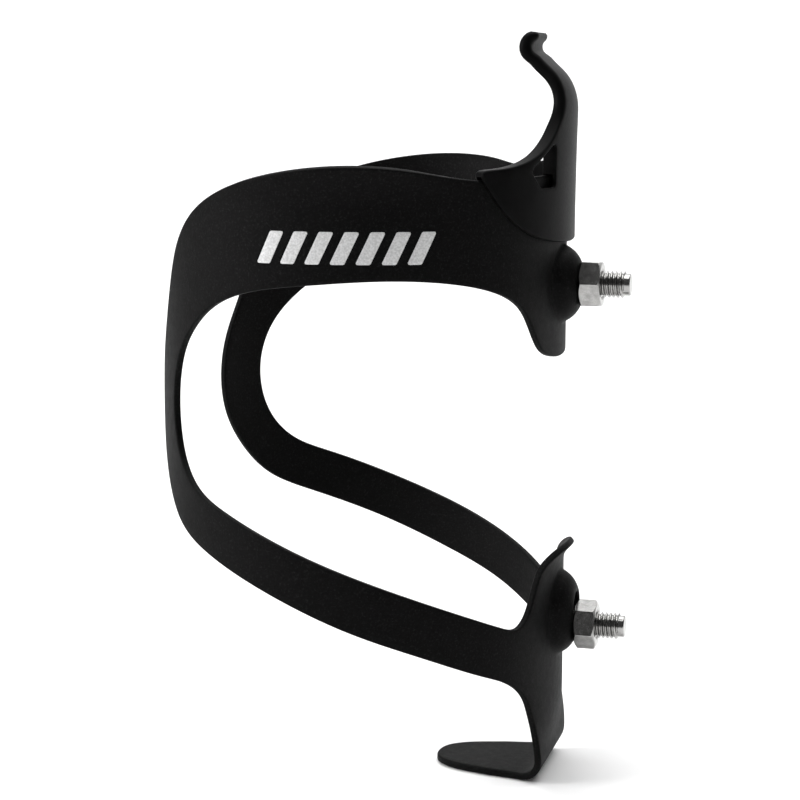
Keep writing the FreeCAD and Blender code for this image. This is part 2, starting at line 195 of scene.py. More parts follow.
def clearance(points, loops):
    """Distance from each point to the nearest loop point."""
    edge = np.vstack(loops)
    best = np.full(len(points), np.inf)
    for start in range(0, len(edge), LONGEST_CHUNK):
        part = edge[start:start + LONGEST_CHUNK]
        gap = np.hypot(points[:, 0][:, None] - part[:, 0], points[:, 1][:, None] - part[:, 1])
        best = np.minimum(best, gap.min(axis=1))
    return best


def signed_area(loop):
    nxt = np.roll(loop, -1, axis=0)
    return 0.5 * np.sum(loop[:, 0] * nxt[:, 1] - nxt[:, 0] * loop[:, 1])


def triangular_grid(low, high, spacing):
    rows = np.arange(low[1], high[1], spacing * math.sqrt(0.75))
    out = []
    for index, v in enumerate(rows):
        shift = spacing / 2 if index % 2 else 0.0
        u = np.arange(low[0] + shift, high[0], spacing)
        out.append(np.stack([u, np.full_like(u, v)], -1))
    return np.vstack(out)


# ---- thick sheets made from a flat pattern ----
RIM_STEPS = 4
NORMAL_STEP = 0.004
GRID_EDGE_GAP = 0.55        # shares of the grid's spacing
GRID_SPOT_GAP = 0.4
FLAT_TOLERANCE = 1e-7


def surface_frame(place, points):
    """Points on a surface and its normals, from a function of flat coordinates."""
    u = points[:, 0]
    v = points[:, 1]
    here = place(u, v)
    across = place(u + NORMAL_STEP, v) - place(u - NORMAL_STEP, v)
    along = place(u, v + NORMAL_STEP) - place(u, v - NORMAL_STEP)
    normal = np.cross(across, along)
    normal /= np.linalg.norm(normal, axis=1)[:, None]
    return here, normal


def formed_sheet(name, loops, place, low, high, rim, spacing, dense=()):
    """A closed, thick, round-edged sheet. loops are flat outlines, the outer one first.
    place maps flat points to space. low and high are its two faces' offsets along the
    normal, each a number or a function. rim is the rounding of its edges, the same for
    all or one for each outline. dense lists spots (across, up, radius, spacing) that get
    a finer mesh."""

    def value(source, points):
        if callable(source):
            return source(points[:, 0], points[:, 1])
        return np.full(len(points), float(source))

    rims = rim if isinstance(rim, list) else [rim] * len(loops)
    borders = []
    for index, loop in enumerate(loops):
        wanted = 1.0 if index == 0 else -1.0
        if signed_area(loop) * wanted < 0:
            loop = loop[::-1]
        tangent = np.roll(loop, -1, axis=0) - np.roll(loop, 1, axis=0)
        tangent /= np.linalg.norm(tangent, axis=1)[:, None]
        outward = np.stack([tangent[:, 1], -tangent[:, 0]], -1)
        radius = value(rims[index], loop)
        borders.append((loop, outward, radius, loop - outward * radius[:, None]))
    insets = [b[3] for b in borders]

    flat_low = insets[0].min(axis=0)
    flat_high = insets[0].max(axis=0)
    grid = triangular_grid(flat_low, flat_high, spacing)
    spots = [(np.array([a, b]), r, s) for a, b, r, s in dense]
    for centre, radius, _ in spots:
        grid = grid[np.hypot(*(grid - centre).T) > radius]
    gap = np.full(len(grid), GRID_EDGE_GAP * spacing)
    for centre, radius, fine in spots:
        more = triangular_grid(centre - radius, centre + radius, fine)
        keep = np.hypot(*(more - centre).T) <= radius - GRID_SPOT_GAP * spacing
        for other, other_radius, _ in spots:
            if other is not centre:
                keep &= np.hypot(*(more - other).T) > other_radius
        more = more[keep]
        grid = np.vstack([grid, more])
        gap = np.concatenate([gap, np.full(len(more), GRID_EDGE_GAP * fine)])
    keep = inside(grid, insets[0])
    for hole in insets[1:]:
        keep &= ~inside(grid, hole)
    keep &= clearance(grid, insets) > gap
    grid = grid[keep]

    flat = np.vstack(insets + [grid])
    edges = []
    first = 0
    for inset in insets:
        count = len(inset)
        edges += [(first + i, first + (i + 1) % count) for i in range(count)]
        first += count
    result = delaunay_2d_cdt([Vector(p) for p in flat], edges, [], 0, FLAT_TOLERANCE, True)
    if len(result[0]) != len(flat):
        raise ValueError(name + ": the flat pattern crosses itself")
    back = [ids[0] for ids in result[3]]
    triangles = np.array([[back[i] for i in t] for t in result[2]])
    middle = flat[triangles].mean(axis=1)
    keep = inside(middle, insets[0])
    for hole in insets[1:]:
        keep &= ~inside(middle, hole)
    triangles = triangles[keep]
    start = flat[triangles[:, 0]]
    turned = np.cross(flat[triangles[:, 1]] - start, flat[triangles[:, 2]] - start) < 0
    triangles[turned] = triangles[turned][:, ::-1]

    here, normal = surface_frame(place, flat)
    top = here + normal * value(high, flat)[:, None]
    bottom = here + normal * value(low, flat)[:, None]
    count = len(flat)
    points = [top, bottom]
    faces = [tuple(t) for t in triangles]
    faces += [tuple(t[::-1] + count) for t in triangles]
    base = 2 * count
    first = 0
    for loop, outward, radius, inset in borders:
        rings = [np.arange(first, first + len(loop))]
        offsets = []
        for k in range(1, RIM_STEPS + 1):
            angle = math.pi / 2 * k / RIM_STEPS
            offsets.append((1, math.sin(angle), math.cos(angle)))
        for k in range(RIM_STEPS, 0, -1):
            angle = math.pi / 2 * k / RIM_STEPS
            offsets.append((-1, math.sin(angle), math.cos(angle)))
        for side, reach, lift in offsets:
            spot = inset + outward * (radius * reach)[:, None]
            at, direction = surface_frame(place, spot)
            face = value(high if side > 0 else low, inset)
            offset = face - side * radius * (1.0 - lift)
            points.append(at + direction * offset[:, None])
            rings.append(np.arange(base, base + len(loop)))
            base += len(loop)
        rings.append(np.arange(first, first + len(loop)) + count)
        for ring, following in zip(rings, rings[1:]):
            for i in range(len(loop)):
                j = (i + 1) % len(loop)
                faces.append((ring[i], following[i], following[j], ring[j]))
        first += len(loop)
    return mesh_object(name, np.vstack(points) * MM, faces)


SHARP_ANGLE = 40.0
MERGE_DISTANCE = 2e-7


def mesh_object(name, points, faces, sharp_angle=SHARP_ANGLE):
    mesh = bpy.data.meshes.new(name)
    mesh.from_pydata([tuple(p) for p in points], [], [tuple(int(i) for i in f) for f in faces])
    obj = bpy.data.objects.new(name, mesh)
    bpy.context.scene.collection.objects.link(obj)
    clean(obj, sharp_angle)
    return obj


def clean(obj, sharp_angle):
    """Merges doubles, fills gaps, points the normals outward and shades smooth below an angle."""
    work = bmesh.new()
    work.from_mesh(obj.data)
    bmesh.ops.remove_doubles(work, verts=work.verts, dist=MERGE_DISTANCE)
    open_edges = [e for e in work.edges if e.is_boundary]
    if open_edges:
        bmesh.ops.holes_fill(work, edges=open_edges, sides=0)
    bmesh.ops.recalc_face_normals(work, faces=work.faces)
    work.to_mesh(obj.data)
    work.free()
    obj.data.polygons.foreach_set("use_smooth", [True] * len(obj.data.polygons))
    obj.data.set_sharp_from_angle(angle=math.radians(sharp_angle))
    obj.data.update()


# ---- the bent sheet's flat pattern: (distance round from the back, height) ----
SOLE_TOP_Z = FOOT_LOW_Z + SHEET
HEEL_INNER_RADIUS = 3.2
HEEL_START_Z = SOLE_TOP_Z + HEEL_INNER_RADIUS
HEEL_SINK = 1.6
HEEL_RADIUS = HEEL_INNER_RADIUS + SHEET / 2
HEEL_LENGTH = HEEL_RADIUS * math.pi / 2
FOOT_TIP_X = 14.3
FOOT_LENGTH = MID_RADIUS - HEEL_SINK - HEEL_RADIUS - FOOT_TIP_X
HEEL_END_V = HEEL_START_Z - HEEL_LENGTH
FOOT_TIP_V = HEEL_END_V - FOOT_LENGTH
BODY_RIM = 0.36

PLATE_TOP_Z = 52.0

OUTER_EDGE = [
    (0.0, PLATE_TOP_Z), (14.0, PLATE_TOP_Z), (28.0, 51.7), (36.0, 52.7), (42.0, 53.7), (52.0, 54.3),
    (64.0, 53.0), (75.0, 50.0), (83.0, 45.9), (89.5, 39.4), (93.2, 32.0), (96.4, 24.6),
    (99.4, 17.7), (100.7, 10.5), (99.5, 2.8), (95.4, -4.4), (88.8, -11.0), (80.0, -15.2),
    (66.0, -20.7), (50.7, -27.1), (38.4, -31.8), (27.0, -36.4), (20.4, -39.2), (15.8, -43.0),
    (13.6, -47.8), (12.9, -51.5), (12.3, HEEL_START_Z), (11.3, HEEL_END_V + 3.0), (10.1, HEEL_END_V),
    (9.3, HEEL_END_V - 3.2), (8.8, HEEL_END_V - 6.2), (8.0, HEEL_END_V - 9.2),
    (7.1, HEEL_END_V - 12.2), (5.8, HEEL_END_V - 14.8), (3.8, HEEL_END_V - 16.9),
    (0.0, FOOT_TIP_V),
]
OPENING_EDGE = [
    (0.0, 18.7), (7.0, 19.3), (11.0, 20.8), (14.3, 24.3), (17.6, 28.3), (23.1, 31.5),
    (30.5, 33.5), (46.0, 34.7), (58.0, 33.9), (68.0, 32.6), (76.5, 29.9), (83.0, 25.6),
    (88.2, 20.0), (90.9, 13.4), (90.7, 6.5), (88.2, 0.8), (83.2, -4.0), (75.7, -7.3),
    (60.0, -13.4), (43.0, -20.0), (30.0, -25.2), (22.5, -28.2), (18.4, -29.0), (15.6, -27.3),
    (13.2, -23.6), (10.2, -19.6), (6.0, -17.2), (0.0, -16.2),
]

# ---- how the flat pattern is bent ----
LIP_START_Z = 47.0
LIP_HEIGHT = 9.0
LIP_FLARE = 2.4
LIP_FADES_OUT = 28.0        # distances round from the back
LIP_IS_FULL = 44.0
TONGUE_START_Z = -20.8
TONGUE_HEIGHT = 4.6
TONGUE_FLARE = 2.7
TONGUE_LONGEST = 1.3        # a share of its height
TONGUE_HALF_WIDTH = 14.5
TONGUE_HIGHEST_Z = -10.0
UPPER_PLATE_SINK = 0.87
LOWER_PLATE_SINK = 0.65
SINK_IS_FULL = 6.0
SINK_FADES_OUT = 24.0
FLATTEN_START_Z = -45.0
FLATTEN_END_Z = -56.0
BOSS_MID_X = BOSS_FACE_X - SHEET / 2
BOSS_REACH = 9.0
BOSS_SECTION = [
    (0.0, 1.0), (3.6, 1.0), (4.3, 0.91), (5.0, 0.78), (5.65, 0.6), (6.2, 0.37), (6.75, 0.12),
    (7.5, 0.0), (BOSS_REACH, 0.0),
]
BOSS_RISE = 3.2
LOWER_BOSS_LOW_Z = LOWER_BOLT_Z + 1.4
LOWER_BOSS_HIGH_Z = LOWER_BOLT_Z + 3.0
LOWER_BOSS = (LOWER_BOSS_LOW_Z, LOWER_BOSS_HIGH_Z)
UPPER_BOSS = (UPPER_BOLT_Z, UPPER_BOLT_Z)
BOSSES = (UPPER_BOSS, LOWER_BOSS)
HOLE_RADIUS = 2.75
HOLE_STEP = 0.35
SLOT_TRAVEL = 3.4
NEARLY_ZERO = 1e-9


def boss_profile():
    """The boss section against distance in the flat pattern: (flat, radius, height share)."""
    section = np.array(BOSS_SECTION)
    dense = natural_spline(section * [1.0, BOSS_RISE], DENSE_STEP)
    length = lengths_along(dense)
    flat = length * BOSS_REACH / length[-1]
    return flat, dense[:, 0], np.clip(dense[:, 1] / BOSS_RISE, 0.0, 1.0)


BOSS_FLAT, BOSS_RADIUS, BOSS_HEIGHT = boss_profile()


def boss_offset(v, boss):
    """The height above or below a boss's straight middle."""
    return v - np.clip(v, boss[0], boss[1])


def bent_base(u, v):
    """The bent sheet's middle surface before the bosses are pressed."""
    theta = u / SEAT_RADIUS
    lip = np.clip((v - LIP_START_Z) / LIP_HEIGHT, 0.0, None) ** 2 * LIP_FLARE
    lip *= smooth_step(np.abs(u), LIP_FADES_OUT, LIP_IS_FULL)
    share = np.clip((v - TONGUE_START_Z) / TONGUE_HEIGHT, 0.0, TONGUE_LONGEST)
    on_tongue = (v < TONGUE_HIGHEST_Z) & (np.abs(u) < TONGUE_HALF_WIDTH)
    tongue = np.where(on_tongue, share ** 2 * TONGUE_FLARE, 0.0)
    radius = MID_RADIUS + lip + tongue
    flatten = smooth_step(-v, -FLATTEN_START_Z, -FLATTEN_END_Z)
    middle = 1.0 - smooth_step(np.abs(u), SINK_IS_FULL, SINK_FADES_OUT)
    sink = np.where(v > 0.0, UPPER_PLATE_SINK, LOWER_PLATE_SINK) * middle
    sink = sink + (HEEL_SINK - sink) * flatten
    sag = (1.0 - flatten) * radius * (1.0 - np.cos(theta))
    across = (1.0 - flatten) * radius * np.sin(theta) + flatten * u
    below = np.clip(HEEL_START_Z - v, 0.0, None)
    turn = np.clip(below / HEEL_RADIUS, 0.0, math.pi / 2)
    forward = HEEL_RADIUS * (1.0 - np.cos(turn)) + np.clip(below - HEEL_LENGTH, 0.0, None)
    path_x = radius - forward - sink
    path_z = np.maximum(v, HEEL_START_Z) - HEEL_RADIUS * np.sin(turn)
    x = path_x - sag * np.cos(turn)
    z = path_z + sag * np.sin(turn)
    return np.stack([x, across, z], -1)


def bent_sheet(u, v):
    """The finished sheet's middle surface."""
    u = np.asarray(u, float)
    v = np.asarray(v, float)
    lift = np.zeros_like(u)
    for boss in BOSSES:
        up = boss_offset(v, boss)
        reach = np.hypot(u, up)
        near = reach < BOSS_REACH
        radius = np.interp(reach, BOSS_FLAT, BOSS_RADIUS)
        stretch = radius / np.maximum(reach, NEARLY_ZERO)
        scale = np.where(near & (reach > NEARLY_ZERO), stretch, 1.0)
        lift = np.where(near, np.interp(reach, BOSS_FLAT, BOSS_HEIGHT), lift)
        v = np.where(near, v - up + up * scale, v)
        u = np.where(near, u * scale, u)
    place = bent_base(u, v)
    place[:, 0] += (BOSS_MID_X - place[:, 0]) * lift
    return place


def boss_hole(boss, low_z, high_z):
    """A bolt hole, or slot, in a boss, as a loop in the flat pattern."""
    angles = np.linspace(0.0, math.pi, 25)
    top = np.stack([HOLE_RADIUS * np.cos(angles), high_z + HOLE_RADIUS * np.sin(angles)], -1)
    bottom = np.stack([-HOLE_RADIUS * np.cos(angles), low_z - HOLE_RADIUS * np.sin(angles)], -1)
    if high_z == low_z:
        line = np.vstack([top, bottom[1:-1]])
    else:
        line = np.vstack([top, bottom])
    loop = resample(line, HOLE_STEP, True)
    up = boss_offset(loop[:, 1], boss)
    radius = np.hypot(loop[:, 0], up)
    flat = np.interp(radius, BOSS_RADIUS, BOSS_FLAT)
    stretch = flat / radius
    return np.stack([loop[:, 0] * stretch, loop[:, 1] - up + up * stretch], -1)


# ---- materials: sizes of grain are in waves per metre, bump heights in metres ----
def grey(value):
    return (value, value, value)


def node_material(name, colour, roughness, metallic=0.0):
    material = bpy.data.materials.new(name)
    material.use_nodes = True
    tree = material.node_tree
    shader = tree.nodes["Principled BSDF"]
    shader.inputs["Base Color"].default_value = (*colour, 1.0)
    shader.inputs["Roughness"].default_value = roughness
    shader.inputs["Metallic"].default_value = metallic
    place = tree.nodes.new("ShaderNodeTexCoord")
    return material, tree, shader, place.outputs["Object"]


def noise_node(tree, vector, scale, detail=2.0, roughness=0.5):
    node = tree.nodes.new("ShaderNodeTexNoise")
    node.inputs["Scale"].default_value = scale
    node.inputs["Detail"].default_value = detail
    node.inputs["Roughness"].default_value = roughness
    tree.links.new(vector, node.inputs["Vector"])
    return node.outputs["Fac"]


def ramp_node(tree, factor, stops):
    node = tree.nodes.new("ShaderNodeValToRGB")
    ramp = node.color_ramp
    while len(ramp.elements) < len(stops):
        ramp.elements.new(0.5)
    for element, (position, colour) in zip(ramp.elements, stops):
        element.position = position
        element.color = (*colour, 1.0)
    tree.links.new(factor, node.inputs["Fac"])
    return node.outputs["Color"]


def range_node(tree, factor, low, high):
    node = tree.nodes.new("ShaderNodeMapRange")
    node.inputs["To Min"].default_value = low
    node.inputs["To Max"].default_value = high
    tree.links.new(factor, node.inputs["Value"])
    return node.outputs["Result"]


def bump_chain(tree, shader, layers):
    """Stacks bumps, each (height factor, distance in metres, strength)."""
    previous = None
    for height, distance, strength in layers:
        bump = tree.nodes.new("ShaderNodeBump")
        bump.inputs["Distance"].default_value = distance
        bump.inputs["Strength"].default_value = strength
        tree.links.new(height, bump.inputs["Height"])
        if previous is not None:
            tree.links.new(previous, bump.inputs["Normal"])
        previous = bump.outputs["Normal"]
    tree.links.new(previous, shader.inputs["Normal"])


def powder_coat():
    """Matt black powder coat with a fine, sparkling grain."""
    material, tree, shader, place = node_material("black_powder_coat", grey(0.006), 0.55)
    grain = noise_node(tree, place, scale=2600.0, detail=3.0, roughness=0.65)
    broad = noise_node(tree, place, scale=700.0)
    colour = ramp_node(tree, grain, [(0.3, grey(0.001)), (0.55, grey(0.0025)), (0.75, grey(0.011))])
    tree.links.new(colour, shader.inputs["Base Color"])
    tree.links.new(range_node(tree, broad, 0.5, 0.64), shader.inputs["Roughness"])
    shader.inputs["Specular IOR Level"].default_value = 0.055
    bump_chain(tree, shader, [(broad, 0.00006, 0.35), (grain, 0.00005, 0.6)])
    return material


def moulded_plastic():
    """Black nylon with a faint moulded texture, glossier than the coated sheet."""
    material, tree, shader, place = node_material("black_moulded_plastic", grey(0.005), 0.4)
    grain = noise_node(tree, place, scale=1900.0, detail=3.0, roughness=0.6)
    flow = noise_node(tree, place, scale=160.0)
    colour = ramp_node(tree, flow, [(0.35, grey(0.002)), (0.7, (0.004, 0.004, 0.0041))])
    tree.links.new(colour, shader.inputs["Base Color"])
    tree.links.new(range_node(tree, grain, 0.36, 0.5), shader.inputs["Roughness"])
    shader.inputs["Specular IOR Level"].default_value = 0.03
    bump_chain(tree, shader, [(flow, 0.0001, 0.12), (grain, 0.00004, 0.35)])
    return material


def bright_steel():
    """Bright zinc plating with fine tool marks and small blotches."""
    material, tree, shader, place = node_material("bright_zinc_steel", (0.62, 0.61, 0.59), 0.25, 1.0)
    stretch = tree.nodes.new("ShaderNodeMapping")
    stretch.inputs["Scale"].default_value = (0.12, 1.0, 1.0)
    tree.links.new(place, stretch.inputs["Vector"])
    lines = noise_node(tree, stretch.outputs["Vector"], scale=3600.0)
    blotch = noise_node(tree, place, scale=900.0, detail=3.0)
    colour = ramp_node(tree, blotch, [(0.3, (0.27, 0.268, 0.262)), (0.65, (0.4, 0.396, 0.388))])
    tree.links.new(colour, shader.inputs["Base Color"])
    tree.links.new(range_node(tree, blotch, 0.14, 0.26), shader.inputs["Roughness"])
    bump_chain(tree, shader, [(lines, 0.00001, 0.15), (blotch, 0.00002, 0.1)])
    return material


def silver_ink():
    """Printed silver bars on the near arm."""
    material, tree, shader, place = node_material("silver_print", grey(0.62), 0.45, 0.35)
    flake = noise_node(tree, place, scale=3000.0)
    colour = ramp_node(tree, flake, [(0.35, grey(0.5)), (0.65, grey(0.68))])
    tree.links.new(colour, shader.inputs["Base Color"])
    bump_chain(tree, shader, [(flake, 0.00003, 0.3)])
    return material


def ride_and_replace(obj, node, body):
    """Ties a piece to its body, and lets it stand in for its CAD node."""
    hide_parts(node)
    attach(obj, body)


POWDER_COAT = powder_coat()
PLASTIC = moulded_plastic()
STEEL = bright_steel()
SILVER = silver_ink()


# ---- the cage body ----
OUTLINE_STEP = 0.6
BODY_SPACING = 0.95
BOSS_SPACING = 0.42
UPPER_BOSS_MARGIN = 0.6
LOWER_BOSS_MARGIN = 1.4


def make_body():
    loops = [mirrored_loop(OUTER_EDGE, OUTLINE_STEP), mirrored_loop(OPENING_EDGE, OUTLINE_STEP)]
    loops.append(boss_hole(UPPER_BOSS, UPPER_BOLT_Z, UPPER_BOLT_Z))
    loops.append(boss_hole(LOWER_BOSS, LOWER_BOLT_Z, LOWER_BOLT_Z + SLOT_TRAVEL))
    spots = [
        (0.0, UPPER_BOLT_Z, BOSS_REACH + UPPER_BOSS_MARGIN, BOSS_SPACING),
        (0.0, sum(LOWER_BOSS) / 2, BOSS_REACH + LOWER_BOSS_MARGIN, BOSS_SPACING),
    ]
    body = formed_sheet(
        "formed_cage_body",
        loops,
        bent_sheet,
        -SHEET / 2,
        SHEET / 2,
        BODY_RIM,
        BODY_SPACING,
        spots,
    )
    body.data.materials.append(POWDER_COAT)
    ride_and_replace(body, "cage_body", "cage")


# ---- the printed bars: plain slanted stripes ----
BAR_COUNT = 7
BAR_START_U = 39.0
BAR_PITCH = 4.3
BAR_WIDTH = 2.5
BAR_LOW_Z = 37.6
BAR_HIGH_Z = 43.2
BAR_SLANT = 2.6
BAR_CORNER = 0.25
BAR_STEP = 0.3
BAR_SPACING = 0.7
INK = 0.03
INK_RIM = 0.024


def make_print():
    bars = []
    for index in range(BAR_COUNT):
        left = -(BAR_START_U + BAR_PITCH * index)
        corners = [
            (left, BAR_LOW_Z),
            (left - BAR_WIDTH, BAR_LOW_Z),
            (left - BAR_WIDTH + BAR_SLANT, BAR_HIGH_Z),
            (left + BAR_SLANT, BAR_HIGH_Z),
        ]
        loop = rounded_polygon(corners, BAR_CORNER, BAR_STEP)
        low = SHEET / 2 - INK
        high = SHEET / 2 + INK
        bars.append(formed_sheet("bar", [loop], bent_sheet, low, high, INK_RIM, BAR_SPACING))
    stripe = join(bars, "printed_bars")
    stripe.data.materials.append(SILVER)
    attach(stripe, "cage")


def join(objects, name):
    """One object from several, with their meshes merged."""
    work = bmesh.new()
    for obj in objects:
        work.from_mesh(obj.data)
    mesh = bpy.data.meshes.new(name)
    work.to_mesh(mesh)
    work.free()
    for obj in objects:
        bpy.data.objects.remove(obj)
    joined = bpy.data.objects.new(name, mesh)
    bpy.context.scene.collection.objects.link(joined)
    return joined


# ---- the moulded clip ----
CLIP_MID_RADIUS = 38.0
CLIP_OUTER = 0.88           # the saddle's two faces, from the middle surface
CLIP_INNER = -1.7
TONGUE_HALF_THICKNESS = 1.15
OUTER_FACE_CHANGES = (42.0, 66.0)       # heights between which saddle becomes tongue
INNER_FACE_CHANGES = (54.0, 67.0)
TONGUE_GROWS_FLATTER = (66.0, 74.0)
TONGUE_FLATNESS = 0.7
TONGUE_CORNER = 2.4
BEAD_SHIFT = 0.62           # how far the tongue's end lies outside its curl
BEAD_SHIFT_START = 5.0      # distances before the tongue's end
BEAD_SHIFT_END = 2.4
SADDLE_RIM = 0.4
TONGUE_RIM = 0.55           # added to the saddle's rim
TONGUE_RIM_GROWS = (53.0, 64.0)
TONGUE_RIM_FADES = (7.3, 9.3)           # distances round from the back
BEAD_RIM = 0.15
BEAD_RIM_START = 3.2
BEAD_RIM_END = 0.6
CLIP_STEP = 0.5
CLIP_SPACING = 0.8
CLIP_SHARP_ANGLE = 38.0
CLIP_LIP_BOTTOM_Z = 45.5
HOOK_PATH = [
    (38.0, 40.0), (38.0, 50.0), (38.0, 58.0), (38.05, 62.0), (37.95, 65.2), (37.2, 67.7),
    (35.7, 69.8), (33.9, 71.4), (32.45, 73.0), (31.7, 74.5), (31.8, 75.5), (32.3, 75.95),
    (32.9, 75.85),
]
CLIP_WINDOW_AROUND = 12.4
CLIP_WINDOW = [(-2.8, 58.2), (-2.8, 50.0), (2.0, 50.0), (5.0, 53.1)]
WINDOW_RIM = 0.25
WINDOW_CORNER = 0.8
WINDOW_STEP = 0.35
POCKET_GAP = 0.05
POCKET_ROOF_GAP = 0.3
POCKET_BOTTOM_Z = 36.0
POCKET_DEPTH = 4.0
POCKET_HALF_ANGLE = 52.0
POCKET_STEPS = 60
HOOK_LINE_STEP = 0.1
HOOK_SLOPE_REACH = 0.35


def hook_line():
    """The hook's side view as a dense line, and the flat height of each of its points."""
    line = natural_spline(HOOK_PATH, HOOK_LINE_STEP)
    return HOOK_PATH[0][1] + lengths_along(line), line


HOOK_LENGTH, HOOK_LINE = hook_line()
HOOK_END_V = HOOK_LENGTH[-1]

CLIP_EDGE = [
    (0.0, 39.8), (8.9, 40.2), (15.0, 41.3), (19.0, 42.8), (22.1, 44.8), (24.9, 47.5),
    (27.0, 50.1), (28.0, 51.6), (28.3, 52.5), (28.0, 53.2), (27.2, 53.45), (25.0, 53.6),
    (21.6, 54.0), (16.7, 55.3), (12.6, 57.5), (9.4, 60.4), (7.4, 63.5), (6.5, 66.5),
    (6.2, 70.0), (6.2, HOOK_END_V - TONGUE_CORNER),
]


def hook_point(v):
    """The side view's X and Z at a flat height."""
    x = np.interp(v, HOOK_LENGTH, HOOK_LINE[:, 0])
    z = np.interp(v, HOOK_LENGTH, HOOK_LINE[:, 1])
    return x, z


def clip_sheet(u, v):
    """The clip's middle surface: a saddle on the seat's cylinder, then the hook."""
    u = np.asarray(u, float)
    v = np.asarray(v, float)
    theta = u / SEAT_RADIUS
    centre = np.clip(v, HOOK_LENGTH[0], HOOK_END_V)
    path_x, path_z = hook_point(centre)
    ahead_x, ahead_z = hook_point(np.clip(centre + HOOK_SLOPE_REACH, HOOK_LENGTH[0], HOOK_END_V))
    behind_x, behind_z = hook_point(np.clip(centre - HOOK_SLOPE_REACH, HOOK_LENGTH[0], HOOK_END_V))
    size = np.hypot(ahead_x - behind_x, ahead_z - behind_z)
    run_x = (ahead_x - behind_x) / size
    run_z = (ahead_z - behind_z) / size
    path_x = path_x + (v - centre) * run_x
    path_z = path_z + (v - centre) * run_z
    flatter = 1.0 - TONGUE_FLATNESS * smooth_step(v, *TONGUE_GROWS_FLATTER)
    sag = CLIP_MID_RADIUS * (1.0 - np.cos(theta)) * flatter
    x = path_x - sag * run_z
    z = path_z + sag * run_x
    y = CLIP_MID_RADIUS * np.sin(theta)
    return np.stack([x, y, z], -1)


def bead_shift(v):
    start = HOOK_END_V - BEAD_SHIFT_START
    return BEAD_SHIFT * smooth_step(v, start, HOOK_END_V - BEAD_SHIFT_END)


def clip_outer(u, v):
    change = (TONGUE_HALF_THICKNESS - CLIP_OUTER) * smooth_step(v, *OUTER_FACE_CHANGES)
    return CLIP_OUTER + change - bead_shift(v)


def clip_inner(u, v):
    change = (-TONGUE_HALF_THICKNESS - CLIP_INNER) * smooth_step(v, *INNER_FACE_CHANGES)
    return CLIP_INNER + change - bead_shift(v)


def clip_rim(u, v):
    on_tongue = 1.0 - smooth_step(np.abs(u), *TONGUE_RIM_FADES)
    tongue = TONGUE_RIM * smooth_step(v, *TONGUE_RIM_GROWS) * on_tongue
    bead = BEAD_RIM * smooth_step(v, HOOK_END_V - BEAD_RIM_START, HOOK_END_V - BEAD_RIM_END)
    return SADDLE_RIM + tongue + bead


def clip_outline():
    """The clip's flat outline: the seam below, round wing corners, and the tongue."""
    edge = natural_spline(CLIP_EDGE, HOOK_LINE_STEP)
    angles = np.linspace(0.0, math.pi / 2, 12)[1:]
    corner_u = CLIP_EDGE[-1][0] - TONGUE_CORNER
    corner_v = HOOK_END_V - TONGUE_CORNER
    round_end = np.stack(
        [corner_u + TONGUE_CORNER * np.cos(angles), corner_v + TONGUE_CORNER * np.sin(angles)], -1
    )
    half = np.vstack([edge, round_end])
    other = half[::-1] * [-1.0, 1.0]
    return resample(np.vstack([half, other[:-1]]), CLIP_STEP, True)


def revolved_block(name, section, half_angle):
    """A closed block: a section of (radius, height) turned about the bottle's axis."""
    points = []
    for k in range(POCKET_STEPS + 1):
        angle = math.radians(half_angle * (2 * k / POCKET_STEPS - 1))
        points += [(r * math.cos(angle), r * math.sin(angle), z) for r, z in section]
    count = len(section)
    last = POCKET_STEPS * count
    faces = [tuple(range(count)), tuple(range(last, last + count))[::-1]]
    for k in range(POCKET_STEPS):
        for i in range(count):
            j = (i + 1) % count
            faces.append((k * count + i, (k + 1) * count + i, (k + 1) * count + j, k * count + j))
    return mesh_object(name, np.array(points) * MM, faces)


def cut(target, tool):
    """Takes the tool's solid out of the target, and deletes the tool."""
    modifier = target.modifiers.new("cut", "BOOLEAN")
    modifier.operation = "DIFFERENCE"
    modifier.solver = "EXACT"
    modifier.object = tool
    depsgraph = bpy.context.evaluated_depsgraph_get()
    mesh = bpy.data.meshes.new_from_object(target.evaluated_get(depsgraph))
    target.modifiers.clear()
    target.data = mesh
    bpy.data.objects.remove(tool)


def make_clip():
    loops = [clip_outline()]
    for side in (1, -1):
        corners = [(side * (CLIP_WINDOW_AROUND + a), z) for a, z in CLIP_WINDOW]
        loops.append(rounded_polygon(corners, WINDOW_CORNER, WINDOW_STEP))
    clip = formed_sheet(
        "moulded_clip",
        loops,
        clip_sheet,
        clip_inner,
        clip_outer,
        [clip_rim, WINDOW_RIM, WINDOW_RIM],
        CLIP_SPACING,
    )
    open_side = CLIP_MID_RADIUS - POCKET_DEPTH
    inner = SEAT_RADIUS - POCKET_GAP
    outer = SEAT_RADIUS + SHEET + POCKET_GAP
    roof_z = PLATE_TOP_Z + POCKET_ROOF_GAP
    pocket = [
        (open_side, POCKET_BOTTOM_Z),
        (outer, POCKET_BOTTOM_Z),
        (outer, roof_z),
        (inner, roof_z),
        (inner, CLIP_LIP_BOTTOM_Z),
        (open_side, CLIP_LIP_BOTTOM_Z),
    ]
    cut(clip, revolved_block("pocket", pocket, POCKET_HALF_ANGLE))
    clean(clip, CLIP_SHARP_ANGLE)
    clip.data.materials.clear()
    clip.data.materials.append(PLASTIC)
    ride_and_replace(clip, "retaining_clip", "cage")


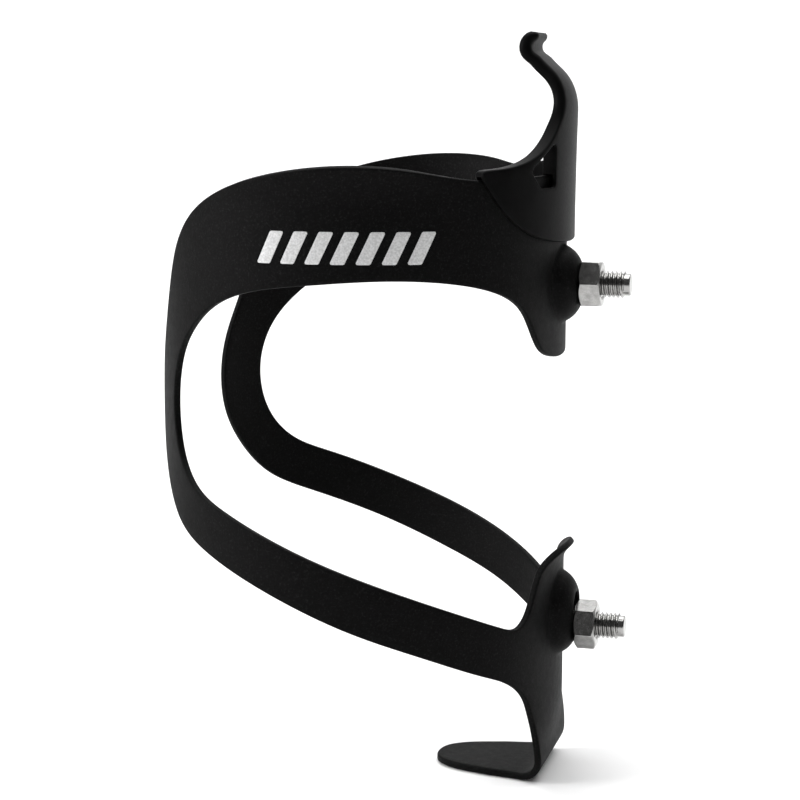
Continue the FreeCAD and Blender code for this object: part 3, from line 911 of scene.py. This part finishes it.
# ---- bolts and nuts ----
COLUMNS = 60
PITCH = 0.8
THREAD_MAJOR = 2.46
THREAD_MINOR = 2.02
THREAD_ROWS = 12
CREST_HALF_WIDTH = 0.2      # shares of half a pitch
ROOT_STARTS = 0.86
RUN_OUT_START = 0.27        # under the head, where the groove starts to deepen
RUN_OUT_LENGTH = 0.9
PLAIN_TIP = 1.1
TIP_RADIUS = 1.85
TIP_SLOPE = 0.9
HEAD_CROWN_RADIUS = 2.5     # the flat top inside the dome
HEAD_SIDE_HEIGHT = 0.8
DOME_STEPS = 8
SOCKET_APOTHEM = 1.5
BOLT_SHARP_ANGLE = 34.0
NUT_SHARP_ANGLE = 25.0
NUT_APOTHEM = 4.0
NUT_FACE_RADIUS = 3.85      # the round bearing face inside the chamfer
NUT_CHAMFER_SLOPE = math.tan(math.radians(30))
NUT_BORE = 2.55
NUT_MOUTH = 2.9
NUT_BEVEL = 0.09
NUT_BEVEL_ANGLE = 22.0


def hexagon_radius(angle, apothem, turn):
    """A hexagon's radius at an angle, with a corner at its turn."""
    local = (angle - turn) % (math.pi / 3)
    return apothem / math.cos(local - math.pi / 6)


def ring_points(x_of, radius_of, z, turn=0.0):
    """One row of points round a bolt's axis, from functions of the angle."""
    out = []
    for j in range(COLUMNS):
        angle = 2 * math.pi * j / COLUMNS + turn
        radius = radius_of(angle)
        out.append((x_of(angle), radius * math.cos(angle), z + radius * math.sin(angle)))
    return out


def round_ring(x, radius, z, turn=0.0):
    return ring_points(lambda angle: x, lambda angle: radius, z, turn)


def ring_faces(rows):
    faces = []
    for i in range(rows - 1):
        here = i * COLUMNS
        following = here + COLUMNS
        for j in range(COLUMNS):
            k = (j + 1) % COLUMNS
            faces.append((here + j, here + k, following + k, following + j))
    return faces


def thread_height(share):
    """Thread form over one pitch: narrow crest, sloping flanks and a wider root."""
    distance = abs(share - 0.5) * 2.0
    return float(np.clip((ROOT_STARTS - distance) / (ROOT_STARTS - CREST_HALF_WIDTH), 0.0, 1.0))


def threaded_shank(z):
    """The shank's outer skin, with rows that follow a right-hand helix."""
    start_x = HEAD_SEAT_X
    end_x = BOLT_END_X
    turns = int(math.ceil((end_x - start_x) / PITCH)) + 2
    rows = turns * THREAD_ROWS
    points = []
    for i in range(rows):
        height = thread_height((i % THREAD_ROWS) / THREAD_ROWS)
        for j in range(COLUMNS):
            angle = 2 * math.pi * j / COLUMNS
            x = start_x - PITCH + PITCH * (i / THREAD_ROWS + j / COLUMNS)
            x = min(max(x, start_x), end_x)
            fade = min(1.0, max(0.0, (x - start_x - RUN_OUT_START) / RUN_OUT_LENGTH))
            root = THREAD_MAJOR - (THREAD_MAJOR - THREAD_MINOR) * fade
            radius = root + (THREAD_MAJOR - root) * height
            left = end_x - x
            if left < PLAIN_TIP:
                radius = min(radius, THREAD_MINOR)
            radius = min(radius, TIP_RADIUS + left * TIP_SLOPE)
            points.append((x, radius * math.cos(angle), z + radius * math.sin(angle)))
    faces = []
    for i in range(rows - 1):
        for j in range(COLUMNS):
            if j + 1 < COLUMNS:
                across = (i * COLUMNS + j + 1, (i + 1) * COLUMNS + j + 1)
            elif i + 1 + THREAD_ROWS < rows:
                across = ((i + THREAD_ROWS) * COLUMNS, (i + 1 + THREAD_ROWS) * COLUMNS)
            else:
                continue
            faces.append((i * COLUMNS + j, across[0], across[1], (i + 1) * COLUMNS + j))
    return points, faces


def bolt_head(z):
    """A button head with a hexagonal socket, joined to the shank at its seat."""
    seat = HEAD_SEAT_X
    top = HEAD_TOP_X
    radius = HEAD_RADIUS
    rim = seat - HEAD_SIDE_HEIGHT
    rows = [
        (seat, THREAD_MAJOR),
        (seat, radius - 0.25),
        (seat - 0.12, radius - 0.06),
        (seat - 0.3, radius),
        (rim, radius),
    ]
    for k in range(1, DOME_STEPS + 1):
        angle = math.pi / 2 * k / DOME_STEPS
        x = rim - (rim - top) * math.sin(angle)
        rows.append((x, HEAD_CROWN_RADIUS + (radius - HEAD_CROWN_RADIUS) * math.cos(angle)))
    points = []
    for x, r in rows:
        points += round_ring(x, r, z)
    socket = [
        (0.0, SOCKET_APOTHEM + 0.12),
        (0.12, SOCKET_APOTHEM),
        (1.45, SOCKET_APOTHEM),
        (1.5, SOCKET_APOTHEM - 0.1),
        (1.9, 0.02),
    ]
    for depth, apothem in socket:
        points += ring_points(
            lambda angle, x=top + depth: x,
            lambda angle, a=apothem: hexagon_radius(angle, a, 0.0),
            z,
        )
    return points, ring_faces(len(rows) + len(socket))


def make_bolt(name, node, body, z):
    shank_points, shank_faces = threaded_shank(z)
    head_points, head_faces = bolt_head(z)
    start = len(shank_points)
    faces = shank_faces + [tuple(i + start for i in f) for f in head_faces]
    bolt = mesh_object(name, np.array(shank_points + head_points) * MM, faces, BOLT_SHARP_ANGLE)
    bolt.data.materials.append(STEEL)
    ride_and_replace(bolt, node, body)


def chamfer_ring(face_x, inward, share, z, turn):
    """A row of a nut's corner chamfer, this share of the way out to its flats."""

    def extra(angle):
        return (hexagon_radius(angle, NUT_APOTHEM, turn) - NUT_FACE_RADIUS) * share

    return ring_points(
        lambda angle: face_x + inward * extra(angle) * NUT_CHAMFER_SLOPE,
        lambda angle: NUT_FACE_RADIUS + extra(angle),
        z,
        turn,
    )


def make_nut(name, node, body, z, turn):
    """A hexagonal nut: chamfered bore, round bearing faces and 30 degree corners."""
    low_x = BOSS_FACE_X
    high_x = BOSS_FACE_X + NUT_HEIGHT
    mouth_depth = NUT_MOUTH - NUT_BORE
    rings = [
        round_ring(high_x - mouth_depth, NUT_BORE, z, turn),
        round_ring(high_x, NUT_MOUTH, z, turn),
        round_ring(high_x, NUT_FACE_RADIUS, z, turn),
        chamfer_ring(high_x, -1, 0.5, z, turn),
        chamfer_ring(high_x, -1, 1.0, z, turn),
        chamfer_ring(low_x, 1, 1.0, z, turn),
        chamfer_ring(low_x, 1, 0.5, z, turn),
        round_ring(low_x, NUT_FACE_RADIUS, z, turn),
        round_ring(low_x, NUT_MOUTH, z, turn),
        round_ring(low_x + mouth_depth, NUT_BORE, z, turn),
    ]
    points = [point for ring in rings for point in ring]
    faces = ring_faces(len(rings))
    last = (len(rings) - 1) * COLUMNS
    for j in range(COLUMNS):
        k = (j + 1) % COLUMNS
        faces.append((last + j, last + k, k, j))
    nut = mesh_object(name, np.array(points) * MM, faces, NUT_SHARP_ANGLE)
    bevel = nut.modifiers.new("soft_edges", "BEVEL")
    bevel.width = NUT_BEVEL * MM
    bevel.segments = 2
    bevel.limit_method = "ANGLE"
    bevel.angle_limit = math.radians(NUT_BEVEL_ANGLE)
    nut.data.materials.append(STEEL)
    ride_and_replace(nut, node, body)


# ---- studio, in metres ----
FLOOR_DROP = 0.0002
FLOOR_HALF_WIDTH = 6.0
FLOOR_FRONT_Y = -6.0
BACKDROP_BEND_Y = 1.2
BACKDROP_BEND_RADIUS = 0.8
BACKDROP_TOP = 3.0
BACKDROP_STEPS = 12
CAMERA_AZIMUTH = math.radians(14.62)
CAMERA_ELEVATION = math.radians(8.36)
CAMERA_ROLL = math.radians(0.13)
CAMERA_PLACE = (0.1065, -0.3835, 0.0673)
CAMERA_LENS = 95.3
CAMERA_SENSOR = 36.0


def aim(obj, target):
    direction = Vector(target) - obj.location
    obj.rotation_euler = direction.to_track_quat("-Z", "Y").to_euler()


def area_light(name, location, target, size, power):
    data = bpy.data.lights.new(name, "AREA")
    data.shape = "RECTANGLE"
    data.size, data.size_y = size
    data.energy = power
    light = bpy.data.objects.new(name, data)
    light.location = location
    bpy.context.scene.collection.objects.link(light)
    aim(light, target)


def make_floor():
    """A pale floor that curves up into a backdrop far behind."""
    floor_z = FOOT_LOW_Z * MM - FLOOR_DROP
    points = []
    profile = [(FLOOR_FRONT_Y, 0.0), (BACKDROP_BEND_Y, 0.0)]
    for k in range(1, BACKDROP_STEPS + 1):
        angle = math.pi / 2 * k / BACKDROP_STEPS
        y = BACKDROP_BEND_Y + BACKDROP_BEND_RADIUS * math.sin(angle)
        profile.append((y, BACKDROP_BEND_RADIUS * (1.0 - math.cos(angle))))
    profile.append((BACKDROP_BEND_Y + BACKDROP_BEND_RADIUS, BACKDROP_TOP))
    for y, z in profile:
        points.append((-FLOOR_HALF_WIDTH, y, floor_z + z))
        points.append((FLOOR_HALF_WIDTH, y, floor_z + z))
    faces = []
    for k in range(len(profile) - 1):
        faces.append((2 * k, 2 * k + 1, 2 * k + 3, 2 * k + 2))
    mesh = bpy.data.meshes.new("studio_floor")
    mesh.from_pydata(points, [], faces)
    floor = bpy.data.objects.new("studio_floor", mesh)
    bpy.context.scene.collection.objects.link(floor)
    material, tree, shader, place = node_material("pale_floor", grey(0.9), 0.8)
    cloud = noise_node(tree, place, scale=3.0)
    colour = ramp_node(tree, cloud, [(0.3, grey(0.89)), (0.7, grey(0.91))])
    tree.links.new(colour, shader.inputs["Base Color"])
    floor.data.materials.append(material)


def make_studio():
    world = bpy.data.worlds.new("studio_world")
    bpy.context.scene.world = world
    world.use_nodes = True
    background = world.node_tree.nodes["Background"]
    background.inputs["Color"].default_value = (1.0, 1.0, 1.0, 1.0)
    background.inputs["Strength"].default_value = 0.1
    bpy.context.scene.view_settings.view_transform = "Standard"
    area_light("sky_light", (0.0, 0.8, 2.6), (0.0, 0.8, 0.0), (3.4, 3.0), 125.0)
    area_light("key_light", (-0.95, -0.45, 0.45), (0.0, 0.0, 0.0), (0.5, 0.5), 11.0)
    area_light("low_light", (0.5, -0.7, -0.03), (0.04, 0.0, 0.0), (0.5, 0.12), 0.05)
    make_floor()


def make_camera():
    """Right of the side view and a little above, with a long lens."""
    data = bpy.data.cameras.new("camera")
    data.sensor_width = CAMERA_SENSOR
    data.lens = CAMERA_LENS
    camera = bpy.data.objects.new("camera", data)
    bpy.context.scene.collection.objects.link(camera)
    level = math.cos(CAMERA_ELEVATION)
    back = Vector(
        (
            math.sin(CAMERA_AZIMUTH) * level,
            -math.cos(CAMERA_AZIMUTH) * level,
            math.sin(CAMERA_ELEVATION),
        )
    )
    right = Vector((math.cos(CAMERA_AZIMUTH), math.sin(CAMERA_AZIMUTH), 0.0))
    up = back.cross(right)
    turned_right = right * math.cos(CAMERA_ROLL) + up * math.sin(CAMERA_ROLL)
    turned_up = up * math.cos(CAMERA_ROLL) - right * math.sin(CAMERA_ROLL)
    basis = Matrix((turned_right, turned_up, back)).transposed().to_4x4()
    basis.translation = Vector(CAMERA_PLACE)
    camera.matrix_world = basis
    bpy.context.scene.camera = camera


make_camera()
make_body()
make_print()
make_clip()
make_bolt("threaded_upper_bolt", "upper_bolt", "upper_bolt", UPPER_BOLT_Z)
make_bolt("threaded_lower_bolt", "lower_bolt", "lower_bolt", LOWER_BOLT_Z)
make_nut("hexagon_upper_nut", "upper_nut", "upper_nut", UPPER_BOLT_Z, UPPER_NUT_TURN)
make_nut("hexagon_lower_nut", "lower_nut", "lower_nut", LOWER_BOLT_Z, LOWER_NUT_TURN)
make_studio()
